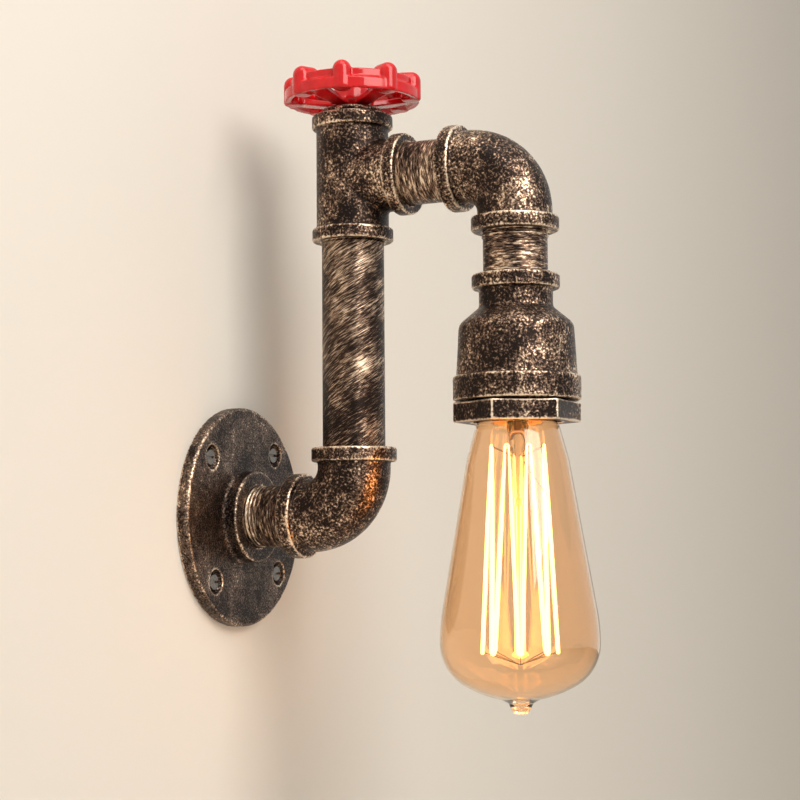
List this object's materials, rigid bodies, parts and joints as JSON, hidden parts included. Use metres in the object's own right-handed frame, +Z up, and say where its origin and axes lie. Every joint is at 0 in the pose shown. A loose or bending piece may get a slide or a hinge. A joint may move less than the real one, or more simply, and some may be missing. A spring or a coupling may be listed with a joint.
{
  "type": "pipe wall light",
  "caption": "Wall light of threaded pipe fittings with a round wall flange, a riser, a tee with a turning handwheel, and a bell cup holding a hanging screw-in filament bulb.",
  "frame": {"origin": "centre of the wall flange's back face, which lies against the wall", "axes": "+Y into the wall, +Z up, +X to the right of someone who faces the wall"},
  "size_m": [0.0954, 0.176, 0.2724],
  "materials": {
    "bronze_casting": "antique bronze on rough castings, rubbed bright on edges",
    "bronze_pipe": "antique bronze on brushed steel pipe",
    "zinc_steel": "zinc plated",
    "black_steel": "blackened",
    "red_enamel": "glossy red enamel over cast iron",
    "porcelain": "glazed porcelain",
    "brass": "stamped",
    "cap_metal": "rolled thread",
    "solder": "dull",
    "black_glass": "vitrite",
    "amber_glass": "clear amber tint",
    "clear_glass": "clear",
    "glowing_filament": "glowing",
    "support_wire": "drawn wire",
    "brown_insulation": "extruded",
    "blue_insulation": "extruded"
  },
  "bodies": {
    "fixture": {"wall_flange": "bronze_casting", "lower_elbow": "bronze_casting", "tee": "bronze_casting", "upper_elbow": "bronze_casting", "socket_cup": "bronze_casting", "hex_bushing": "bronze_casting", "flange_nipple": "bronze_pipe", "riser_pipe": "bronze_pipe", "branch_nipple": "bronze_pipe", "drop_nipple": "bronze_pipe", "tee_plug": "bronze_pipe", "mounting_screws": "zinc_steel", "earth_screw": "zinc_steel", "earth_washer": "zinc_steel", "wheel_stem": "black_steel", "wheel_washer": "black_steel", "wheel_nut": "black_steel", "lampholder_body": "porcelain", "lampholder_shell": "brass", "centre_contact": "brass", "terminal_blocks": "brass", "contact_rivets": "brass", "terminal_screws": "zinc_steel", "live_wire": "brown_insulation", "neutral_wire": "blue_insulation"},
    "wheel": {"handwheel": "red_enamel"},
    "bulb_lift": {"tip_contact": "solder", "bulb_insulator": "black_glass"},
    "bulb": {"bulb_shell": "cap_metal", "glass_envelope": "amber_glass", "glass_stem": "clear_glass", "filament": "glowing_filament", "filament_supports": "support_wire", "lead_wires": "support_wire"}
  },
  "joints": [
    {"name": "handwheel_spin", "type": "hinge", "parent": "fixture", "child": "wheel", "pos_m": [0, -0.0587, 0.18], "axis": [0, 0, 1], "continuous": true},
    {"name": "bulb_travel", "type": "slide", "parent": "fixture", "child": "bulb_lift", "axis": [0, 0, 1], "range_m": [-0.0218, 0]},
    {"name": "bulb_turn", "type": "hinge", "parent": "bulb_lift", "child": "bulb", "pos_m": [0, -0.134, 0.05], "axis": [0, 0, 1], "range_deg": [-2160, 0]}
  ],
  "couplings": [
    {"joint": "bulb_travel", "follows": "bulb_turn", "m_per_rad": 0.00057757}
  ]
}
